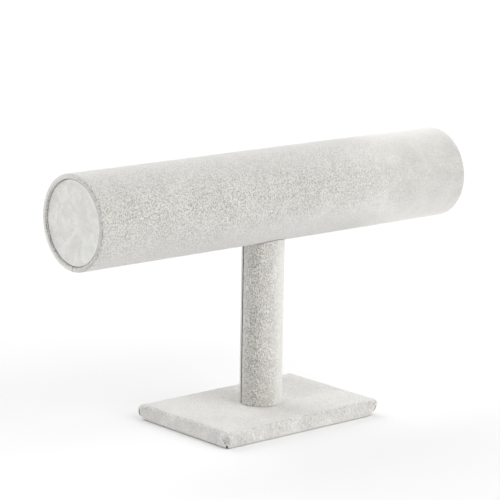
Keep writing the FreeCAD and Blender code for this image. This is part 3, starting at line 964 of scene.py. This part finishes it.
@dataclass
class Post:
    """The short round post: its velvet sleeve, coped to the bar."""

    radius: float
    foot: float
    bar_height: float
    bar_radius: float
    cloth: float = 0.6 * MM
    seam_angle: float = math.radians(163)
    seam: float = 0.9 * MM
    seam_ragged: float = 0.1 * MM
    into_bar: float = 4 * MM
    cope_gap: float = 0.05 * MM
    cope_depth: float = 2.7 * MM
    right_angle: float = math.radians(-41)
    left_angle: float = math.radians(203)
    sides: int = 84
    row: float = 0.95 * MM
    # The height over which the painted light low on the shaded left fades out.
    painted_light_low_part: Span = (18 * MM, 35 * MM)

    @classmethod
    def fitted(cls, bar: DisplayBar) -> "Post":
        """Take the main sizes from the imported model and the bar.

        Args:
            bar: The bar that the post carries.

        Returns:
            The post.
        """
        low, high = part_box("post_cover")
        return cls(radius=(high.y - low.y) / 2, foot=low.z, bar_height=bar.axis_height, bar_radius=bar.radius)

    def wrap_sleeve(self) -> Object:
        """Wrap the sleeve, butt it down the left rear and cope its top to the bar.

        Returns:
            The sleeve.
        """
        top = self.bar_height - self.bar_radius + self.into_bar
        low, high = Vector((0, 0, self.foot)), Vector((0, 0, top))
        sleeve = open_tube("post_sleeve", self.radius, low, high, self.sides, round((top - self.foot) / self.row),
                           turn=self.seam_angle)
        line = Vector((math.cos(self.seam_angle), math.sin(self.seam_angle), 0)) * self.radius
        open_seam(sleeve, lambda point: math.hypot(point.x - line.x, point.y - line.y) < TINY, self.seam,
                  self.seam_ragged, seed=5)
        give_thickness(sleeve, self.cloth)
        bpy.ops.mesh.primitive_cylinder_add(
            vertices=256, radius=self.bar_radius + self.cope_gap, depth=3 * self.bar_radius,
            location=(0, 0, self.bar_height), rotation=(0, math.pi / 2, 0))
        cutter = settle("cope_cutter")
        modify(sleeve, "BOOLEAN", operation="DIFFERENCE", object=cutter, solver="EXACT")
        bpy.data.objects.remove(cutter)
        press_pile(sleeve, 0.25 * MM, 3.0 * MM)
        return sleeve

    def towards(self, angle: float, point: Vector) -> float:
        """How far round to one side a point lies: 1 right on it, -1 opposite."""
        return point.dot(Vector((math.cos(angle), math.sin(angle), 0.0))) / self.radius

    def worn_at(self, point: Vector) -> float:
        """How flat the sleeve's pile lies at a point: flat on the right, ruffled on the left."""
        right = self.towards(self.right_angle, point)
        return 0.8 * ramp(right, 0.3, 0.85) - 0.8 * (1 - ramp(right, -0.6, 0.1))

    def painted_shading_at(self, point: Vector) -> float:
        """The sleeve's painted shading at a point: painted shade on both sides, painted light in front and low on the
        left.
        """
        right, left = self.towards(self.right_angle, point), self.towards(self.left_angle, point)
        painted_shade = 0.3 * ramp(-right, 0.2, 0.7) + 0.4 * ramp(left, 0.85, 1.0) + 0.9 * ramp(right, 0.75, 1.0)
        # up is painted light in front, and low is painted light low on the shaded left.
        up = 0.35 * (1 - ramp(abs(right - 0.2), 0.1, 0.5))
        low = 0.5 * ramp(-right, 0.1, 0.5) * (1 - ramp(point.z, *self.painted_light_low_part))
        return painted_shade - up - low

    def build(self, finishes: dict[str, Material]) -> None:
        """Make and dress the sleeve.

        Args:
            finishes: The made velvets by name.
        """
        sleeve = self.wrap_sleeve()
        dress_sheet(sleeve, finishes[POST_PILE.name], finishes[PAINTED_SHADE_BACKING.name], "post_cover")
        paint(sleeve, "worn", map(self.worn_at, points(sleeve)))
        paint(sleeve, "painted_shading", map(self.painted_shading_at, points(sleeve)))


@dataclass(frozen=True)
class Fold:
    """How the velvet was folded at one corner of the board.

    The tip stands out by ear at ear_height, and the lower end is drawn in by tuck. The slit is
    as wide as slit below, and its upper and lower ends lie off the corner by lean and shift.
    Loose fibres stand along it where it is frayed.
    """

    across: int
    along: int
    ear: float
    ear_height: float
    tuck: float
    lean: float
    shift: float
    slit: float
    frayed: bool


FOLDS = (
    Fold(-1, -1, ear=0.9 * MM, ear_height=5.0 * MM, tuck=0.6 * MM, lean=-3.4 * MM, shift=0.0,
         slit=0.8 * MM, frayed=True),
    Fold(-1, 1, ear=2.6 * MM, ear_height=4.6 * MM, tuck=2.2 * MM, lean=2.2 * MM, shift=0.8 * MM,
         slit=1.3 * MM, frayed=False),
    Fold(1, -1, ear=0.8 * MM, ear_height=4.6 * MM, tuck=2.8 * MM, lean=-1.8 * MM, shift=-1.5 * MM,
         slit=0.8 * MM, frayed=False),
    Fold(1, 1, ear=1.0 * MM, ear_height=6.0 * MM, tuck=1.4 * MM, lean=0.8 * MM, shift=0.0,
         slit=0.9 * MM, frayed=True),
)


@dataclass
class Base:
    """The velvet-covered board and the felt under it."""

    length: float
    width: float
    bottom: float
    top: float
    felt_length: float
    felt_width: float
    felt_top: float
    cloth: float = 0.6 * MM
    corner: float = 3 * MM
    top_round: float = 2.7 * MM
    bottom_round: float = 1.6 * MM
    sag: float = 0.55 * MM
    sag_width: float = 3.4 * MM
    turn_under: float = 12 * MM
    slit_below_top: float = 2 * MM
    slit_ragged: float = 0.3 * MM
    slit_fibres: int = 44
    grip: float = 1.3 * MM
    ear_reach: float = 6.5 * MM
    tuck_reach: float = 8.5 * MM
    cell: float = 1.1 * MM
    felt_corner: float = 3 * MM
    felt_cell: float = 2.5 * MM
    felt_ragged: float = 0.12 * MM
    edge_depth: Span = (0.25 * MM, 1.8 * MM)
    edge_unevenness: Span = (0.7, 1.15)
    brushed_right: Span = (0.0, 25 * MM)
    # Spans that place the painted shade and painted light on the top.
    behind_front: Span = (-12 * MM, 0.0)
    painted_shade_right: Span = (12 * MM, 27 * MM)
    painted_shade_end: Span = (42 * MM, 50 * MM)
    painted_light_right: Span = (38 * MM, 50 * MM)
    painted_light_left: Span = (15 * MM, 32 * MM)
    painted_light_left_rear: Span = (-12 * MM, 10 * MM)

    @classmethod
    def fitted(cls) -> "Base":
        """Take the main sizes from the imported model."""
        low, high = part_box("base_cover")
        felt_low, felt_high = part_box("base_liner")
        return cls(length=high.x - low.x, width=high.y - low.y, bottom=low.z, top=high.z,
                   felt_length=felt_high.x - felt_low.x, felt_width=felt_high.y - felt_low.y, felt_top=felt_high.z)

    def mitre(self, fold: Fold) -> tuple[Vector, Vector, Vector]:
        """Where a corner of the board is cut.

        Args:
            fold: The corner's fold.

        Returns:
            The middle of its rounding at the slit's upper end, the way outward, and the way aside.
        """
        outward = Vector((fold.across, fold.along, 0.0)).normalized()
        point = Vector((fold.across * (self.length / 2 - self.corner), fold.along * (self.width / 2 - self.corner), 0))
        point += outward * self.corner
        point.z = self.top - self.slit_below_top
        return point, outward, Vector((-outward.y, outward.x, 0.0))

    def inset(self, point: Vector) -> float:
        """How far a point lies within the board's sides."""
        return -max(abs(point.x) - self.length / 2, abs(point.y) - self.width / 2)

    def slit_corner(self, piece: Object, fold: Fold) -> None:
        """Cut the narrow V down one corner, through the turned-under border too.

        Args:
            piece: The cover in edit mode.
            fold: The corner's fold.
        """
        apex, outward, aside = self.mitre(fold)
        apex += aside * fold.lean
        drop = Vector((0.0, 0.0, self.bottom - apex.z)) + aside * (fold.shift - fold.lean)
        normals = []
        for sign in (-1, 1):
            slope = drop + aside * (sign * fold.slit / 2)
            normal = slope.cross(outward).normalized()
            if normal.dot(aside) * sign < 0:
                normal.negate()
            normals.append(normal)
            pick(piece, Kind.FACE, lambda face: middle(face).z < apex.z + self.cell
                 and abs((middle(face) - apex).dot(aside)) < abs(fold.lean - fold.shift) + 3 * self.cell
                 and (middle(face) - apex).dot(outward) > -2 * self.turn_under)
            bpy.ops.mesh.bisect(plane_co=apex, plane_no=normal)
        pick(piece, Kind.FACE, lambda face: middle(face).z < apex.z
             and (middle(face) - apex).dot(outward) > -2 * self.turn_under
             and all((middle(face) - apex).dot(normal) < 0 for normal in normals))
        bpy.ops.mesh.delete(type="FACE")

    def draw_corner(self, piece: Object, fold: Fold) -> None:
        """Pull one corner's tip outward into an ear, and draw its lower end in.

        Args:
            piece: The cover in edit mode.
            fold: The corner's fold.
        """
        tip, outward, _ = self.mitre(fold)
        for height, move, reach, fade in ((fold.ear_height, outward * fold.ear, self.ear_reach, Fade.SMOOTH),
                                          (self.bottom, -outward * fold.tuck, self.tuck_reach, Fade.SHARP)):
            tip.z = height
            pick(piece, Kind.CORNER, lambda corner: (corner.co - tip).length < self.grip)
            pull(move, reach, fade)

    def wrap_board(self) -> Object:
        """Wrap the velvet over the board, with soft edges, slit corners and a turned border.

        Returns:
            The cover.
        """
        bpy.ops.mesh.primitive_cube_add(size=1.0, location=(0, 0, (self.bottom + self.top) / 2),
                                        scale=(self.length, self.width, self.top - self.bottom))
        cover = settle("base_wrap")
        with editing(cover):
            pick(cover, Kind.EDGE, runs_along(2))
            bpy.ops.mesh.bevel(offset=self.corner, segments=6, affect="EDGES")
            for height, rounding, segments in ((self.top, self.top_round, 6), (self.bottom, self.bottom_round, 4)):
                pick(cover, Kind.EDGE, on_edge(lambda point: abs(point.z - height) < TINY))
                bpy.ops.mesh.bevel(offset=rounding, segments=segments, affect="EDGES")
            slice_grid(cover, 0, -self.length / 2, self.length / 2, self.cell)
            slice_grid(cover, 1, -self.width / 2, self.width / 2, self.cell)
            slice_grid(cover, 2, self.bottom, self.top, self.cell)
            pick(cover, Kind.FACE, lambda face: middle(face).z < self.bottom + TINY
                 and self.inset(middle(face)) >= self.turn_under)
            bpy.ops.mesh.delete(type="FACE")
            for fold in FOLDS:
                self.slit_corner(cover, fold)
                self.draw_corner(cover, fold)
            pick(cover, Kind.CORNER, lambda corner: corner.is_boundary and corner.co.z > self.bottom + TINY)
            bpy.ops.transform.vertex_random(offset=self.slit_ragged, uniform=0.0, normal=0.0, seed=11)
            pick(cover, Kind.CORNER, lambda corner: corner.co.z < self.bottom + 0.4 * self.bottom_round
                 and self.inset(corner.co) < self.sag_width)
            bpy.ops.transform.translate(value=(0.0, 0.0, -self.sag))
        give_thickness(cover, self.cloth)
        press_pile(cover, 0.25 * MM, 3.6 * MM)
        return cover

    def lay_felt(self) -> Object:
        """Lay the felt under the board.

        Returns:
            The felt.
        """
        bpy.ops.mesh.primitive_plane_add(size=1.0, location=(0, 0, 0))
        bpy.context.active_object.scale = (self.felt_length, self.felt_width, 1.0)
        felt = settle("base_felt")
        with editing(felt):
            pick(felt, Kind.CORNER, lambda corner: True)
            bpy.ops.mesh.bevel(offset=self.felt_corner, segments=5, affect="VERTICES")
            slice_grid(felt, 0, -self.felt_length / 2, self.felt_length / 2, self.felt_cell)
            slice_grid(felt, 1, -self.felt_width / 2, self.felt_width / 2, self.felt_cell)
            pick(felt, Kind.CORNER, lambda corner: corner.is_boundary)
            bpy.ops.transform.vertex_random(offset=self.felt_ragged, uniform=0.0, normal=0.0, seed=17)
            bpy.ops.mesh.select_all(action="SELECT")
            bpy.ops.transform.resize(value=(1.0, 1.0, 0.0), center_override=(0, 0, 0))
            bpy.ops.mesh.flip_normals()
        backing = felt.vertex_groups.new(name="backing")
        modify(felt, "SOLIDIFY", thickness=self.felt_top, offset=-1.0, shell_vertex_group=backing.name)
        press_pile(felt, 0.1 * MM, 5 * MM)
        return felt

    def fray_roots(self, cover: Object) -> list[Root]:
        """Where fibres stand along the frayed slits: they point across the slit.

        Args:
            cover: The finished cover.

        Returns:
            The roots.
        """
        chance = random.Random(5)
        roots = []
        for fold in (fold for fold in FOLDS if fold.frayed):
            apex, outward, aside = self.mitre(fold)
            lower = Vector((apex.x, apex.y, self.bottom)) + aside * fold.shift
            upper = apex + aside * fold.lean
            for _ in range(self.slit_fibres):
                down, lip = chance.uniform(-0.1, 0.8), chance.choice((-1, 1))
                near = upper.lerp(lower, down) + aside * (lip * (fold.slit / 2 * down + 0.3 * MM)) + outward * MM
                _, place, normal, _ = cover.closest_point_on_mesh(near)
                if (place - near).length < 1.8 * MM:
                    roots.append((place - normal * 0.1 * MM, normal * 0.5 - aside * (0.8 * lip) + Vector((0, 0, 0.2))))
        return roots

    def worn_at(self, point: Vector, edge: float) -> float:
        """How flat the cover's pile lies at a point, given its share of the worn edge."""
        return max(0.95 * edge, 0.25 * ramp(point.x, *self.brushed_right))

    def painted_shading_at(self, point: Vector, edge: float) -> float:
        """The cover's painted shading at a point, given its share of the worn edge.

        Args:
            point: The point.
            edge: How far it lies down the side, unevenly.

        Returns:
            The painted shading: painted shade down the long sides and behind on the right of the top, and painted light
                down the ends and at both ends of the top.
        """
        long_side = abs(point.x) < self.length / 2 - self.corner
        behind = ramp(point.y, *self.behind_front)
        painted_shade = 3 * ramp(point.x, *self.painted_shade_right) * (1 - 0.4 * ramp(point.x, *self.painted_shade_end)) * behind
        # up is painted light, at the front of the right end and at the rear of the left end.
        up = (0.6 * ramp(point.x, *self.painted_light_right) * (1 - behind)
              + 1.2 * ramp(-point.x, *self.painted_light_left) * ramp(point.y, *self.painted_light_left_rear))
        # Painted shade down the long sides and painted light down the ends.
        return edge * (0.35 if long_side else -0.15) + (painted_shade - up) * ramp(point.z, self.top - MM, self.top)

    def build(self, finishes: dict[str, Material]) -> None:
        """Make and dress the cover and the felt.

        Args:
            finishes: The made velvets by name.
        """
        cover = self.wrap_board()
        dress_sheet(cover, finishes[BASE_PILE.name], finishes[PAINTED_SHADE_BACKING.name], "base_cover")
        chance = random.Random(7)
        edges = [ramp(self.top - point.z, *self.edge_depth) * chance.uniform(*self.edge_unevenness)
                 for point in points(cover)]
        paint(cover, "worn", map(self.worn_at, points(cover), edges))
        paint(cover, "painted_shading", map(self.painted_shading_at, points(cover), edges))
        fray = Fray("base_fray", length=1.5 * MM, width=0.24 * MM, seed=23).grow(
            self.fray_roots(cover), finishes[BASE_PILE.name])
        felt = self.lay_felt()
        dress_sheet(felt, finishes[FELT.name], finishes[FELT.name], "base_liner")


@dataclass
class Core:
    """The parts inside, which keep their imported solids."""

    finishes: dict[str, tuple[str, ...]]

    def dress(self, materials: dict[str, Material]) -> None:
        """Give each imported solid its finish.

        Args:
            materials: The made materials by name.
        """
        for finish, nodes in self.finishes.items():
            for name in nodes:
                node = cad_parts[name]
                node.data.materials.clear()
                node.data.materials.append(materials[finish])
                LOG.info("%s: %s", name, finish)


@dataclass(frozen=True)
class Softbox:
    """A wide soft light: its strength, its width in degrees and where it shines from."""

    name: str
    strength: float
    spread: float
    way: Place

    def hang(self) -> None:
        """Add the light."""
        data = bpy.data.lights.new(self.name, "SUN")
        data.energy = self.strength
        data.angle = math.radians(self.spread)
        lamp = bpy.data.objects.new(self.name, data)
        lamp.rotation_mode = "QUATERNION"
        lamp.rotation_quaternion = Vector(self.way).to_track_quat("Z", "Y")
        bpy.context.scene.collection.objects.link(lamp)


SOFTBOXES = (
    Softbox("front_softbox", strength=0.79, spread=50, way=(0.15, -0.853, 0.5)),
    Softbox("right_softbox", strength=0.63, spread=60, way=(0.455, -0.542, 0.707)),
    Softbox("rear_softbox", strength=1.1, spread=60, way=(0.0, 0.819, 0.574)),
)


@dataclass
class Studio:
    """The plain pale floor, the soft lights and the camera."""

    azimuth: float = math.radians(-41.15)
    elevation: float = math.radians(11.96)
    roll: float = math.radians(0.93)
    distance: float = 1.2708
    target: Place = (-0.00921, 0.0001, 0.0935)
    lens: float = 172.35
    sensor: float = 36.0
    floor_size: float = 16.0
    floor_colour: Colour = (0.885, 0.885, 0.89)
    air_light: float = 0.71

    def place_camera(self) -> None:
        """Put the camera at the photograph's viewing angle."""
        back = Vector((math.sin(self.azimuth) * math.cos(self.elevation),
                       -math.cos(self.azimuth) * math.cos(self.elevation), math.sin(self.elevation)))
        right = (-back).cross(Vector((0, 0, 1))).normalized()
        up = right.cross(-back)
        level, lean = math.cos(self.roll), math.sin(self.roll)
        axes = Matrix((right * level + up * lean, up * level - right * lean, back)).transposed()
        data = bpy.data.cameras.new("studio_camera")
        data.lens = self.lens
        data.sensor_width = self.sensor
        data.clip_start, data.clip_end = 0.05, 60.0
        camera = bpy.data.objects.new("studio_camera", data)
        camera.matrix_world = Matrix.Translation(Vector(self.target) + back * self.distance) @ axes.to_4x4()
        bpy.context.scene.collection.objects.link(camera)
        bpy.context.scene.camera = camera

    def lay_floor(self) -> None:
        """Lay the floor, lit as any surface, so it keeps the display's soft shadow."""
        bpy.ops.object.select_all(action="DESELECT")
        bpy.ops.mesh.primitive_plane_add(size=self.floor_size, location=(0, 0, 0))
        floor = bpy.context.active_object
        floor.name = "studio_floor"
        material, wire, shader = plain_material("studio_floor")
        wire.fill(shader.inputs, {"Base Color": (*self.floor_colour, 1.0), "Roughness": 1.0,
                                  "Specular IOR Level": 0.0})
        floor.data.materials.append(material)

    def light(self) -> None:
        """Light the display as in a light tent, before a backdrop that is seen as white."""
        world = bpy.data.worlds.new("studio_air")
        bpy.context.scene.world = world
        world.use_nodes = True
        wire = Wiring(world.node_tree)
        rays = wire.add("LightPath").outputs
        seen = wire.math("MAXIMUM", rays["Is Camera Ray"], wire.math(
            "MAXIMUM", rays["Is Glossy Ray"], rays["Is Transmission Ray"]))
        strength = wire.math("MULTIPLY_ADD", seen, 1.0 - self.air_light, self.air_light)
        wire.fill(world.node_tree.nodes["Background"].inputs, {"Color": (1.0, 1.0, 1.0, 1.0), "Strength": strength})
        for softbox in SOFTBOXES:
            softbox.hang()
        bpy.context.scene.view_settings.view_transform = "Standard"

    def build(self) -> None:
        """Set up the camera, the floor and the lights."""
        self.place_camera()
        self.lay_floor()
        self.light()


def main() -> None:
    """Build the studio, the finishes and each part of the display."""
    logging.basicConfig(level=logging.INFO, format="%(name)s: %(message)s")
    Studio().build()
    pile, streaks = pile_group(), streak_group()
    velvets = {finish.name: finish.make(pile)
               for finish in (BAR_PILE, DISC_PILE, POST_PILE, BASE_PILE, FELT, PAINTED_SHADE_BACKING)}
    inner = {finish.name: finish.make(streaks) for finish in (CARD, BOARD, SOFTWOOD, STEEL)}
    bar = DisplayBar.fitted()
    bar.build(velvets)
    Post.fitted(bar).build(velvets)
    Base.fitted().build(velvets)
    Core({
        CARD.name: ("bar_tube", "post_tube", "end_board_left", "end_board_right"),
        BOARD.name: ("base_board",),
        SOFTWOOD.name: ("bar_saddle", "post_top_plug", "post_bottom_plug"),
        STEEL.name: ("bar_washer", "bar_screw", "base_screw"),
    }).dress(inner)


if __name__ == "__main__":
    main()
